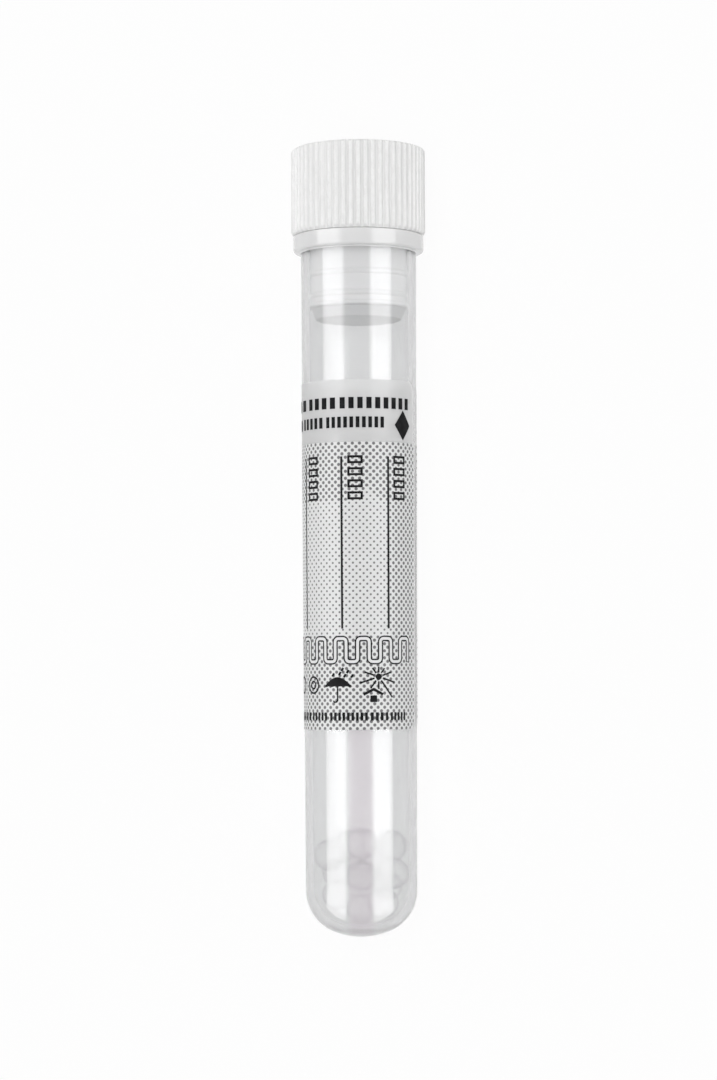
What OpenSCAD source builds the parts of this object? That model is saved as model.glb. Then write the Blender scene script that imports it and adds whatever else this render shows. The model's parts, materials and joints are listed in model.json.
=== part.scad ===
// Blood collection tube: a round-bottomed tube with a collar, a ribbed push-in stopper,
// a wrap-round label and loose round granules. Units are millimetres.
// The pieces are drawn on the tube's own axis, with the tip of the round end at the origin and
// the stopper up. The whole tube is then laid down along Y, stopper at +Y, as it comes to rest.

/* [Tube] */
// Length of the tube, from the tip of its round end to its rim
tube_l = 75; // [60:1:100]
// Outer diameter just under the collar
tube_d = 12.4; // [10.2:0.1:16]
// Draft of the tube's side, in degrees
draft_a = 0.21; // [0.05:0.01:0.4]
// Thickness of the side wall
wall_t = 0.83; // [0.6:0.01:1.2]
// Thickness of the round end at its tip
tip_t = 0.95; // [0.6:0.01:1.5]
// Radius of the round end's crown
crown_r = 8; // [7:0.1:12]
// Radius where the round end turns into the side
corner_r = 4.7; // [4:0.1:4.8]

/* [Collar] */
// How far the collar stands out from the side
collar_w = 0.82; // [0.7:0.02:1.5]
// Height of the collar
collar_h = 1.75; // [1.2:0.05:3]
// Radius of the collar's lower edge
collar_low_r = 0.65; // [0.2:0.05:0.65]
// Radius of the collar's upper edge
collar_top_r = 0.15; // [0.05:0.05:0.3]
// Width of the lead-in at the mouth
mouth_w = 0.25; // [0.1:0.05:0.4]
// Depth of the lead-in at the mouth
mouth_h = 0.4; // [0.2:0.1:1]

/* [Stopper head] */
// Height of the stopper's head
head_h = 9.3; // [6:0.1:14]
// How far the ribs stand out past the collar
head_w = 0.2; // [0.1:0.05:1]
// Number of ribs round the head
rib_count = 56; // [40:4:72]
// Radius of each rib's crest
rib_r = 0.4; // [0.4:0.01:0.5]
// Width cut off the ribs at their lower ends
rib_cut_w = 0.25; // [0.1:0.05:0.25]
// Height cut off the ribs at their lower ends
rib_cut_h = 0.4; // [0.2:0.1:1]
// Radius of the head's upper edge
head_edge_r = 0.3; // [0.1:0.05:0.4]
// Gap between the head's seat and the rim
seat_gap = 0.04; // [0.02:0.01:0.2]

/* [Stopper plug] */
// Depth that the plug reaches below the rim
plug_l = 9.1; // [8.5:0.1:14]
// Gap between the plug's wall and the bore
plug_gap = 0.22; // [0.15:0.01:0.4]
// Running clearance between the sealing rings and the bore
ring_gap = 0.03; // [0.02:0.01:0.08]
// Section radius of a sealing ring
ring_r = 0.35; // [0.3:0.05:0.5]
// Depths of the three sealing rings below the rim
ring_depths = [4.3, 6.6, 7.7]; // [2:0.1:8]
// Width of the lead-in below the last ring
lead_w = 0.55; // [0.2:0.05:1]
// Height of the lead-in below the last ring
lead_h = 1.2; // [0.6:0.1:3]
// Thickness of the plug's wall
plug_t = 0.9; // [0.6:0.05:1.3]
// Thickness of the plug's floor
floor_t = 1.3; // [0.6:0.1:3]
// Radius at the bottom of the hollow in the stopper
hollow_r = 0.8; // [0.3:0.1:1.5]
// Width of the bevel round the mouth of the hollow
hollow_w = 0.5; // [0.2:0.1:1]

/* [Label] */
// Height of the label along the tube
label_h = 36.9; // [20:0.1:45]
// Width of the strip of bare tube between the label's two edges
bare_w = 2.7; // [1:0.1:20]
// Height of the label's lower edge above the tip
label_z = 22.1; // [8:0.1:25]
// Angle from the label's right edge to the middle of the tube's upper side, in degrees
label_a = 68; // [0:1:90]
// Thickness of the label
label_t = 0.09; // [0.05:0.01:0.2]
// Gap between the label and the tube, which its glue fills
label_gap = 0.01; // [0.01:0.01:0.05]
// Radius of the label's corners
label_r = 1.2; // [0.5:0.1:3]

/* [Granules] */
// Number of granules
granule_count = 13; // [1:1:16]
// Diameter of a granule
granule_d = 3.28; // [2.4:0.02:4]
// Gap left between granules, and between them and the wall
granule_gap = 0.03; // [0.02:0.01:0.1]
// Highest angle up the wall that a granule lies at, from the lowest line, in degrees
heap_a = 110; // [60:5:120]
// Turn of the heap round the tube's axis, in degrees
heap_turn = 12; // [-30:1:30]
// Pull towards the lower side of the tube, against the pull towards the round end
heap_pull = 0.2; // [0:0.05:1]

/* [Hidden] */
$fn = 96;

// Tube: radii and heights on the tube's own axis.
collar_z = tube_l - collar_h;
collar_d = tube_d + 2 * collar_w;
end_r = tube_d / 2 - tan(draft_a) * (collar_z - corner_r);
end_z = dome_h(end_r, corner_r, crown_r);
bore_corner_r = corner_r - wall_t;
bore_crown_r = crown_r - tip_t;
bore_end_r = end_r - wall_t;
bore_end_z = tip_t + dome_h(bore_end_r, bore_corner_r, bore_crown_r);
cut_past = 1; // how far a cut runs on past the face that it opens

// Stopper
head_d = collar_d + 2 * head_w;
head_z = tube_l + seat_gap;
head_top_z = head_z + head_h;
rib_ring_r = head_d / 2 - rib_r;
plug_z = tube_l - plug_l;
plug_r = bore_r(plug_z) - plug_gap;
hollow_d = 2 * (plug_r - plug_t);
hollow_z = plug_z + floor_t;
rib_cut_past_w = cut_past * rib_cut_w / rib_cut_h;

// Label: the angle that it spans round the tube, and its upper edge.
label_top_z = label_z + label_h;
label_span_a = 360 - bare_w / side_r(label_z + label_h / 2) * 180 / PI;
label_corner_r = 1.03 * label_r; // a little more, so that the arc crosses the edges and isn't tangent

// Granules: where one may lie across the bore, and the surface that its centre can't pass.
granule_r = granule_d / 2;
granule_pitch = granule_d + granule_gap;
heap_step = 5;
heap_shares = [1, 0.75, 0.5, 0.25, 0];
heap_tie = 0.001; // two places whose costs are this near count as equal, and the first is taken
seat_r = bore_end_r - granule_r - granule_gap;
seat_corner_r = bore_corner_r - granule_r - granule_gap;
seat_crown_r = bore_crown_r - granule_r - granule_gap;
seat_tip_z = tip_t + granule_r + granule_gap;
granules = heap(granule_count);

// Lying down: the tube rests on the round end's corner and on the stopper's lowest rib.
rest_run = head_z + rib_cut_h - end_z;
rest_rise = head_d / 2 - (end_r - corner_r);
rest_tilt = atan2(rest_rise, rest_run) - asin(corner_r / norm([rest_rise, rest_run]));
rest_lift = (end_r - corner_r) * cos(rest_tilt) + corner_r - end_z * sin(rest_tilt);
rest_back_y = crown_r * cos(rest_tilt) - crown_r;
rest_front_y = head_top_z * cos(rest_tilt) + (head_d / 2 - head_edge_r) * sin(rest_tilt);

// Height of a round end with this outer radius, corner radius and crown radius.
function dome_h(r, corner, crown) = crown - sqrt(pow(crown - corner, 2) - pow(r - corner, 2));

// Outer radius of the tube's side, and radius of its bore, at height z.
function side_r(z) = lookup_line(z, [end_z, end_r], [collar_z, tube_d / 2]);
function bore_r(z) = lookup_line(z, [bore_end_z, bore_end_r], [collar_z, tube_d / 2 - wall_t]);
function lookup_line(z, a, b) = a[1] + (b[1] - a[1]) * (z - a[0]) / (b[0] - a[0]);

function granule_name(i) = str("granule_", i < 10 ? "0" : "", i);

// Lowest height of a granule's centre inside the round end, at distance r from the axis.
function seat_z(r) =
    let (
        flank_r = seat_r - seat_corner_r,
        tangent_r = seat_crown_r * flank_r / (seat_crown_r - seat_corner_r)
    )
    r < tangent_r
        ? seat_tip_z + seat_crown_r - sqrt(pow(seat_crown_r, 2) - r * r)
        : seat_tip_z + dome_h(seat_r, seat_corner_r, seat_crown_r)
            - sqrt(max(0, pow(seat_corner_r, 2) - pow(r - flank_r, 2)));

// Every place across the bore that a granule may take. The lowest side of the bore is at +Y.
function spots() = [
    for (share = heap_shares, a = [-heap_a : heap_step : heap_a])
        if (share > 0 || a == -heap_a)
            seat_r * share * [sin(a + heap_turn), cos(a + heap_turn)]
];

// Height at which a granule slid in at p stops, on the round end or on those already there.
function stop_z(p, placed) = max([
    seat_z(norm(p)),
    for (q = placed)
        let (reach = pow(granule_pitch, 2) - pow(p.x - q.x, 2) - pow(p.y - q.y, 2))
        if (reach > 0) q.z + sqrt(reach)
]);

// Granules one after another, each in the place nearest the round end and the lower side.
function heap(count, placed = []) =
    len(placed) == count ? placed :
    let (
        tried = [for (p = spots()) [p.x, p.y, stop_z(p, placed)]],
        costs = [for (p = tried) p.z - heap_pull * p.y],
        least = min(costs),
        best = [for (i = [0 : len(tried) - 1]) if (costs[i] < least + heap_tie) tried[i]]
    )
    heap(count, concat(placed, [best[0]]));

// Lays its children down from the tube's own axis, with the middle of the box over the origin.
module lie_down() {
    translate([0, -(rest_back_y + rest_front_y) / 2, rest_lift])
        rotate([rest_tilt - 90, 0, 0])
            children();
}

// Half section of a round end, filled, with its tip at the origin.
module dome_section(r, corner, crown) {
    middle = [0, crown];
    turn = [r - corner, dome_h(r, corner, crown)];
    way = (turn - middle) / norm(turn - middle);
    intersection() {
        translate(middle) circle(r = crown);
        polygon([middle, middle + 2 * crown * way, [0, -crown]]);
    }
    intersection() {
        translate(turn) circle(r = corner);
        polygon([
            turn, turn + 2 * corner * way, turn + [2 * corner, -2 * corner], turn + [2 * corner, 0]
        ]);
    }
}

// Half section of the collar, with both its outer edges rounded.
module collar_section() {
    r = collar_d / 2;
    inner = bore_r(collar_z) + wall_t / 2;
    difference() {
        translate([inner, collar_z]) square([r - inner, collar_h]);
        translate([r - collar_low_r, collar_z - collar_low_r]) edge_cut(collar_low_r, 1);
        translate([r - collar_top_r, tube_l + collar_top_r]) edge_cut(collar_top_r, -1);
    }
}

// What a rounded outer edge loses: a lower edge where way is 1, an upper edge where way is -1.
module edge_cut(r, way) {
    difference() {
        translate([0, way > 0 ? 0 : -2 * r]) square(2 * r);
        translate([0, 2 * r * way]) circle(r = r);
    }
}

module tube() {
    color([0.8, 0.81, 0.82]) lie_down() rotate_extrude() {
        difference() {
            union() {
                dome_section(end_r, corner_r, crown_r);
                polygon([
                    [0, end_z], [end_r, end_z], [tube_d / 2, collar_z], [tube_d / 2, tube_l], [0, tube_l]
                ]);
                collar_section();
            }
            translate([0, tip_t]) dome_section(bore_end_r, bore_corner_r, bore_crown_r);
            polygon([
                [0, bore_end_z], [bore_end_r, bore_end_z],
                [bore_r(tube_l - mouth_h), tube_l - mouth_h], [bore_r(tube_l) + mouth_w, tube_l],
                [bore_r(tube_l) + mouth_w, tube_l + cut_past], [0, tube_l + cut_past]
            ]);
        }
    }
}

// Ribbed outside of the stopper's head, from its seat to its flat top.
module head() {
    r = head_d / 2;
    difference() {
        translate([0, 0, head_z]) linear_extrude(head_h) {
            circle(r = rib_ring_r);
            for (i = [0 : rib_count - 1])
                rotate(i * 360 / rib_count) translate([rib_ring_r, 0]) circle(r = rib_r);
        }
        rotate_extrude() polygon([
            [r - rib_cut_w - rib_cut_past_w, head_z - cut_past], [r, head_z + rib_cut_h],
            [r + cut_past, head_z + rib_cut_h], [r + cut_past, head_z - cut_past]
        ]);
        rotate_extrude() translate([r - head_edge_r, head_top_z + head_edge_r])
            edge_cut(head_edge_r, -1);
    }
}

// Half section of the plug, from its closed end up to the head's seat.
module plug_section() {
    last = tube_l - ring_depths[2];
    polygon([
        [0, plug_z], [plug_r - lead_w, plug_z], [bore_r(last) - plug_gap, plug_z + lead_h],
        [bore_r(head_z) - plug_gap, head_z], [0, head_z]
    ]);
    for (depth = ring_depths)
        translate([bore_r(tube_l - depth) - ring_gap - ring_r, tube_l - depth]) circle(r = ring_r);
}

// Half section of the hollow that opens at the stopper's top.
module hollow_section() {
    r = hollow_d / 2;
    translate([0, hollow_z]) square([r - hollow_r, hollow_r]);
    intersection() {
        translate([r - hollow_r, hollow_z + hollow_r]) circle(r = hollow_r);
        translate([r - hollow_r, hollow_z]) square(hollow_r);
    }
    polygon([
        [0, hollow_z + hollow_r], [r, hollow_z + hollow_r], [r, head_top_z - hollow_w],
        [r + hollow_w, head_top_z], [r + hollow_w, head_top_z + cut_past], [0, head_top_z + cut_past]
    ]);
}

module stopper() {
    color([0.93, 0.93, 0.92]) lie_down() difference() {
        union() {
            head();
            rotate_extrude() plug_section();
        }
        rotate_extrude() hollow_section();
    }
}

// One rounded corner's waste: side is the way round the tube, up the way along it.
module label_corner(side, up) {
    edge_a = side > 0 ? label_a : label_a - label_span_a;
    rotate(edge_a - 90) translate([0, 0, up > 0 ? label_top_z : label_z]) rotate([0, 90, 0])
        mirror([up > 0 ? 0 : 1, 0, 0]) mirror([0, side > 0 ? 0 : 1, 0]) difference() {
            translate([-cut_past, -label_r, 0])
                cube([label_r + cut_past, label_r + cut_past, tube_d]);
            translate([label_r, -label_r, 0])
                cylinder(r = label_corner_r, h = 3 * tube_d, center = true);
        }
}

module label() {
    low_r = side_r(label_z) + label_gap;
    high_r = side_r(label_top_z) + label_gap;
    color([0.9, 0.91, 0.92, 0.6]) lie_down() difference() {
        rotate(label_a - label_span_a - 90) rotate_extrude(angle = label_span_a)
            polygon([
                [low_r, label_z], [low_r + label_t, label_z],
                [high_r + label_t, label_top_z], [high_r, label_top_z]
            ]);
        for (side = [-1, 1], up = [-1, 1]) label_corner(side, up);
    }
}

module granule(i) {
    color([0.95, 0.95, 0.93]) lie_down() translate(granules[i - 1]) sphere(d = granule_d);
}

tube();
stopper();
label();
for (i = [1 : granule_count]) granule(i);
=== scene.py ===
import json
import logging
import math
from collections.abc import Callable, Iterable, Sequence
from dataclasses import dataclass, field
from enum import Enum
from typing import ClassVar

import bmesh
import bpy
import numpy as np
from bpy.types import ID, Material, Mesh, Node, NodeInputs, NodeOutputs, NodeSocket, NodeTree
from bpy.types import Object, World
from mathutils import Matrix, Vector


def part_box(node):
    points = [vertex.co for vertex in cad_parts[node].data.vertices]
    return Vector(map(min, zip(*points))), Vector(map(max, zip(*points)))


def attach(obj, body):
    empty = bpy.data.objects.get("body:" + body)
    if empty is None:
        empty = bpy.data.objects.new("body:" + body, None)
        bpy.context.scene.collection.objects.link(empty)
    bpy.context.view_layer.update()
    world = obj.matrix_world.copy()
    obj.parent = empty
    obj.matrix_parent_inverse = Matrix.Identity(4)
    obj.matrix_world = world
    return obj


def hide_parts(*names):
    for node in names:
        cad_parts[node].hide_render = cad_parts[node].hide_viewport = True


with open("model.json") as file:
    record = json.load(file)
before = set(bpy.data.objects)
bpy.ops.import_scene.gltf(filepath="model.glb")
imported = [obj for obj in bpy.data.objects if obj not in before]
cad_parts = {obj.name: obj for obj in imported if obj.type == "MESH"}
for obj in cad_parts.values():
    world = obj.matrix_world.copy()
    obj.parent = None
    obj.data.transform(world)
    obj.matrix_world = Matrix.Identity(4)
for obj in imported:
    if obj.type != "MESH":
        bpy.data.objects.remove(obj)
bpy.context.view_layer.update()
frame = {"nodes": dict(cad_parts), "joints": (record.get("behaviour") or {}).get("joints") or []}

log = logging.getLogger("collection_tube")

# Sizes are in millimetres and angles in degrees, unless a docstring says otherwise.
MM = 0.001
TURN = 2 * math.pi
# Points nearer to each other than this are one point.
TOUCHING = 1e-6
# The most of a side that a rounded corner at one of its ends may take.
CORNER_SHARE = 0.49
WHITE = (1, 1, 1, 1)

Point = tuple[float, float]
Span = tuple[float, float]
Colour = tuple[float, float, float, float]
Rails = list[tuple[Point, Point]]
Shape = tuple[Rails, bool]
Value = NodeSocket | float | tuple[float, ...]


class Body(Enum):
    """The bodies of the frame that pieces ride on."""

    VESSEL = "vessel"
    CLOSURE = "closure"


class Slot(Enum):
    """The record's material slots."""

    TUBE = "tube"
    STOPPER = "stopper"
    LABEL = "label"
    GRANULES = "granules"


# Where things are


@dataclass(frozen=True)
class TubeAxis:
    """The tube's own axis as it lies: right is +X, low points to the floor, along to the stopper.

    The tip, where it starts, is in metres in the row frame.
    """

    tip: Vector
    along: Vector

    @property
    def low(self) -> Vector:
        """The direction square to the axis that points down."""
        return self.along.cross(Vector((1, 0, 0))).normalized()

    def place(self, points: np.ndarray) -> np.ndarray:
        """Puts rows of right, low and along, in millimetres, into the row frame, in metres."""
        way = np.array([(1, 0, 0), self.low, self.along], float)
        return np.asarray(points, float) @ way * MM + np.array(self.tip)

    def spot(self, right: float, low: float, along: float) -> Vector:
        """One point of the tube's own frame, in millimetres, as a vector in the row frame."""
        return Vector(self.place(np.array([(right, low, along)]))[0])


def arc(centre: Point, radius: float, start: float, end: float, steps: int) -> list[Point]:
    """Points along an arc in order, with angles in degrees and both ends included."""
    turns = np.radians(np.linspace(start, end, steps + 1))
    return [(centre[0] + radius * math.cos(t), centre[1] + radius * math.sin(t)) for t in turns]


def spaced(start: Point, end: Point, steps: int) -> list[Point]:
    """Evenly spaced points on a line, both ends included."""
    return [tuple(p) for p in np.linspace(start, end, steps + 1)]


def joined(*runs: Sequence[Point]) -> list[Point]:
    """Joins runs of points into one, leaving out each point that repeats the last.

    Args:
        runs: the runs in order.

    Returns:
        The points in order.
    """
    out: list[Point] = []
    for run in runs:
        for p in run:
            if not out or math.dist(p, out[-1]) > TOUCHING:
                out.append((float(p[0]), float(p[1])))
    return out


def rounded(points: Sequence[Point], radii: dict[int, float], steps: int = 5) -> list[Point]:
    """An open run of points with some of its corners rounded.

    Args:
        points: the corners in order.
        radii: radius for the corner at each index that is to be rounded.
        steps: number of spans in each rounded corner.

    Returns:
        The new points in order.
    """
    out: list[Point] = []
    for i, p in enumerate(points):
        if i not in radii:
            out.append(p)
            continue
        here = Vector(p)
        before, after = Vector(points[i - 1]) - here, Vector(points[i + 1]) - here
        most = CORNER_SHARE * min(before.length, after.length)
        reach = min(radii[i] / math.tan(before.angle(after) / 2), most)
        a, b = here + before.normalized() * reach, here + after.normalized() * reach
        for t in np.linspace(0, 1, steps + 1):
            q = a * (1 - t) ** 2 + here * 2 * t * (1 - t) + b * t * t
            out.append((q.x, q.y))
    return out


@dataclass(frozen=True)
class RoundEnd:
    """A round end's half section: a shallow crown that turns into the side with a tighter corner."""

    tip_z: float
    side_r: float
    corner_r: float
    crown_r: float

    @property
    def height(self) -> float:
        """Height of the round end, from its tip to where the side begins."""
        run = self.crown_r - self.corner_r
        return self.crown_r - math.sqrt(run**2 - (self.side_r - self.corner_r) ** 2)

    @property
    def side_z(self) -> float:
        """Where the side begins."""
        return self.tip_z + self.height

    def section(self, steps: int) -> list[Point]:
        """The half section, from the tip to where the side begins.

        Args:
            steps: number of spans in the crown, and in the corner.

        Returns:
            Points of radius and height.
        """
        middle = (0.0, self.tip_z + self.crown_r)
        turn = (self.side_r - self.corner_r, self.side_z)
        meet = math.degrees(math.atan2(turn[1] - middle[1], turn[0]))
        crown = arc(middle, self.crown_r, -90, meet, steps)
        return joined(crown, arc(turn, self.corner_r, meet, 0, steps))


# Meshes


def lathe(
    section: Sequence[Point],
    segments: int,
    shape: Callable[[np.ndarray, float, float], np.ndarray] | None = None,
) -> tuple[np.ndarray, list[tuple[int, ...]]]:
    """A closed solid of revolution whose section starts and ends on the axis.

    Args:
        section: points of radius and height, in millimetres.
        segments: number of spans round the axis.
        shape: gives the radius at each angle, in radians, for a point of a side that isn't round.

    Returns:
        Rows of right, low and along, and the faces.
    """
    angles = np.arange(segments) * TURN / segments
    rings, faces = [], []
    for r, z in section[1:-1]:
        radii = shape(angles, r, z) if shape else np.full(segments, r)
        rings.append(np.c_[radii * np.sin(angles), -radii * np.cos(angles), np.full(segments, z)])
    points = np.vstack([*rings, [(0, 0, section[0][1])], [(0, 0, section[-1][1])]])
    first, last = len(points) - 2, len(points) - 1
    top = (len(rings) - 1) * segments
    for j in range(segments):
        k = (j + 1) % segments
        faces.append((first, k, j))
        for at in range(0, top, segments):
            faces.append((at + j, at + k, at + segments + k, at + segments + j))
        faces.append((top + j, top + k, last))
    return points, faces


def make_mesh(
    name: str, points: np.ndarray, faces: Sequence[Sequence[int]], sharp: float = 40.0
) -> Mesh:
    """A mesh with its normals facing out, smooth but for its sharp edges.

    Args:
        name: name of the mesh.
        points: its vertices in the row frame, in metres.
        faces: its faces.
        sharp: angle above which an edge stays sharp, in degrees.

    Returns:
        The mesh.
    """
    mesh = bpy.data.meshes.new(name)
    mesh.from_pydata([tuple(p) for p in points], [], [tuple(f) for f in faces])
    work = bmesh.new()
    work.from_mesh(mesh)
    bmesh.ops.recalc_face_normals(work, faces=work.faces)
    work.to_mesh(mesh)
    work.free()
    mesh.polygons.foreach_set("use_smooth", [True] * len(mesh.polygons))
    mesh.set_sharp_from_angle(angle=math.radians(sharp))
    mesh.update()
    return mesh


def put(name: str, data: ID) -> Object:
    """Puts a mesh, light or camera into the scene.

    Args:
        name: name of the new object.
        data: what it shows.

    Returns:
        The object, at the origin.
    """
    obj = bpy.data.objects.new(name, data)
    bpy.context.scene.collection.objects.link(obj)
    return obj


def add_piece(
    name: str,
    mesh: Mesh,
    material: Material,
    body: Body,
    stands_for: Iterable[str] = (),
) -> None:
    """Adds a piece of the object, riding on its body.

    Args:
        name: name of the piece.
        mesh: its mesh, in the row frame.
        material: its finish.
        body: the body that it rides on.
        stands_for: the frame's nodes that it replaces.
    """
    obj = put(name, mesh)
    mesh.materials.append(material)
    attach(obj, body.value)
    nodes = list(stands_for)
    if nodes:
        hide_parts(*nodes)
    log.info("%s: %d faces, on %s", name, len(mesh.polygons), body.value)


# Node trees


class Sheet:
    """A node tree being drawn up, with short calls that add and join its nodes."""

    def __init__(self, tree: NodeTree) -> None:
        """Starts on an empty tree."""
        self.tree = tree

    @classmethod
    def on(cls, block: Material | World) -> "Sheet":
        """Starts on a material or a world, whose own nodes are cleared away first.

        Args:
            block: the material or world.

        Returns:
            The sheet.
        """
        block.use_nodes = True
        block.node_tree.nodes.clear()
        return cls(block.node_tree)

    def add(self, kind: str, inputs: dict | None = None, **settings: object) -> Node:
        """A new node.

        Args:
            kind: the node's type name, without its ShaderNode prefix.
            inputs: values or sockets for its inputs, by name or number.
            settings: the node's own properties.

        Returns:
            The node.
        """
        prefix = "" if kind.startswith("NodeGroup") else "ShaderNode"
        node = self.tree.nodes.new(prefix + kind)
        for key, value in settings.items():
            setattr(node, key, value)
        for key, value in (inputs or {}).items():
            self.feed(node.inputs[key], value)
        return node

    def feed(self, socket: NodeSocket, value: Value) -> None:
        """Joins an input to an output, or sets its value.

        Args:
            socket: the input.
            value: the output socket, or the plain value.
        """
        if isinstance(value, NodeSocket):
            self.tree.links.new(value, socket)
        else:
            socket.default_value = value

    def math(self, operation: str, a: Value, b: Value = 0.0, clamp: bool = False) -> NodeSocket:
        """The outcome of one operation on a and b, kept between 0 and 1 where clamp says so."""
        return self.add("Math", {0: a, 1: b}, operation=operation, use_clamp=clamp).outputs[0]

    def ramp(self, value: Value, start: Value, end: Value, low: Value, high: Value) -> NodeSocket:
        """A value carried smoothly from low at start to high at end."""
        inputs = {0: value, 1: start, 2: end, 3: low, 4: high}
        return self.add("MapRange", inputs, interpolation_type="SMOOTHSTEP").outputs[0]

    def above(self, value: Value, edge: float, soft: float) -> NodeSocket:
        """A mask that rises from 0 to 1 where value passes the edge, within soft on both sides."""
        return self.ramp(value, edge - soft, edge + soft, 0.0, 1.0)

    def below(self, value: Value, edge: float, soft: float) -> NodeSocket:
        """A mask that falls from 1 to 0 where value passes the edge, within soft on both sides."""
        return self.ramp(value, edge - soft, edge + soft, 1.0, 0.0)

    def blend(self, factor: Value, a: Value, b: Value) -> NodeSocket:
        """The colour between a and b at factor."""
        inputs = {0: factor, 6: a, 7: b}
        return self.add("Mix", inputs, data_type="RGBA", clamp_factor=True).outputs[2]

    def group(self, tree: NodeTree, inputs: dict[str, Value]) -> NodeOutputs:
        """The outputs of a node group that is placed with these inputs."""
        return self.add("Group", inputs, node_tree=tree).outputs


def start_group(
    name: str, inputs: dict[str, float | None], outputs: Iterable[str]
) -> tuple[Sheet, NodeOutputs, NodeInputs]:
    """A shader node group with its sockets, still without its inner nodes.

    Args:
        name: name of the group.
        inputs: each input's first value by name, or None for a vector.
        outputs: names of its outputs, each a number.

    Returns:
        A sheet on the group, what is given to it, and what it is to put out.
    """
    tree = bpy.data.node_groups.new(name, "ShaderNodeTree")
    for key, value in inputs.items():
        kind = "NodeSocketVector" if value is None else "NodeSocketFloat"
        socket = tree.interface.new_socket(name=key, in_out="INPUT", socket_type=kind)
        if value is not None:
            socket.default_value = value
    for key in outputs:
        tree.interface.new_socket(name=key, in_out="OUTPUT", socket_type="NodeSocketFloat")
    s = Sheet(tree)
    return s, s.add("NodeGroupInput").outputs, s.add("NodeGroupOutput").inputs


@dataclass
class SharedEffects:
    """The node groups that several finishes use, each built once."""

    grain_detail: float = 2.0
    wave_detail: float = 3.0
    cloud_span: Span = (0.3, 0.7)
    speck_span: Span = (0.35, 0.65)
    grain: NodeTree = field(init=False)
    screen: NodeTree = field(init=False)

    def __post_init__(self) -> None:
        """Builds the groups."""
        self.grain = self.moulded_grain()
        self.screen = self.dot_screen()

    def moulded_grain(self) -> NodeTree:
        """The skin of moulded plastic: a fine grain, a slow waviness and faint clouds in the plastic.

        Returns:
            A group that puts out a bump height, and a cloud and a speck value between 0 and 1.
        """
        s, given, out = start_group(
            "moulded grain",
            {"Vector": None, "Grain Width": 0.2, "Wave Width": 3.0, "Wave Share": 0.5},
            ("Height", "Cloud", "Speck"),
        )
        noises = []
        for width, detail in (("Grain Width", self.grain_detail), ("Wave Width", self.wave_detail)):
            scale = s.math("DIVIDE", 1 / MM, given[width])
            inputs = {"Vector": given["Vector"], "Scale": scale, "Detail": detail}
            noises.append(s.add("TexNoise", inputs).outputs[0])
        fine, slow = noises
        rest = s.math("SUBTRACT", 1.0, given["Wave Share"])
        waves = s.math("MULTIPLY", slow, given["Wave Share"])
        s.feed(out["Height"], s.math("ADD", waves, s.math("MULTIPLY", fine, rest)))
        s.feed(out["Cloud"], s.ramp(slow, *self.cloud_span, 0.0, 1.0))
        s.feed(out["Speck"], s.ramp(fine, *self.speck_span, 0.0, 1.0))
        return s.tree

    def dot_screen(self) -> NodeTree:
        """A printed screen of round dots in rows at 45 degrees.

        Returns:
            A group that puts out a mask, which is 1 on the dots.
        """
        s, given, out = start_group(
            "dot screen",
            {"Across": 0.0, "Along": 0.0, "Pitch": 0.5, "Dot Width": 0.3, "Softness": 0.04},
            ("Mask",),
        )
        step = s.math("MULTIPLY", given["Pitch"], math.sqrt(2))
        squares = []
        for operation in ("ADD", "SUBTRACT"):
            cell = s.math("DIVIDE", s.math(operation, given["Across"], given["Along"]), step)
            off = s.math("SUBTRACT", s.math("FRACT", cell), 0.5)
            squares.append(s.math("POWER", s.math("MULTIPLY", off, given["Pitch"]), 2.0))
        reach = s.math("SQRT", s.math("ADD", *squares))
        edge = s.math("DIVIDE", given["Dot Width"], 2.0)
        over = s.math("DIVIDE", s.math("SUBTRACT", edge, reach), given["Softness"])
        s.feed(out["Mask"], s.math("ADD", over, 0.5, clamp=True))
        return s.tree


def plain_material(name: str, constants: dict[str, Value]) -> tuple[Material, Sheet, Node]:
    """A material with one Principled shader joined to its output.

    Args:
        name: name of the material.
        constants: the shader's inputs that are the same all over, by name.

    Returns:
        The material, a sheet on its tree, and the shader.
    """
    material = bpy.data.materials.new(name)
    s = Sheet.on(material)
    shader, out = s.add("BsdfPrincipled", constants), s.add("OutputMaterial")
    s.feed(out.inputs["Surface"], shader.outputs[0])
    return material, s, shader


# Finishes


@dataclass(frozen=True)
class Skin:
    """How the skin of a finish is worked: widths and depth in millimetres, the rest as shares."""

    grain_w: float
    wave_w: float
    wave_share: float
    strength: float = 0.0
    depth: float = 0.0

    def lay(self, s: Sheet, shader: Node, effects: SharedEffects) -> tuple[NodeSocket, ...]:
        """Lays the skin on a shader, as a bump where it has a strength.

        Args:
            s: the material's sheet.
            shader: its shader.
            effects: the shared node groups.

        Returns:
            The place on the surface, and the skin's cloud and speck values there.
        """
        where = s.add("TexCoord").outputs["Object"]
        sizes = {"Grain Width": self.grain_w, "Wave Width": self.wave_w, "Wave Share": self.wave_share}
        skin = s.group(effects.grain, {"Vector": where, **sizes})
        if self.strength:
            inputs = {"Strength": self.strength, "Distance": self.depth * MM, "Height": skin["Height"]}
            s.feed(shader.inputs["Normal"], s.add("Bump", inputs).outputs[0])
        return where, skin["Cloud"], skin["Speck"]


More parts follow.
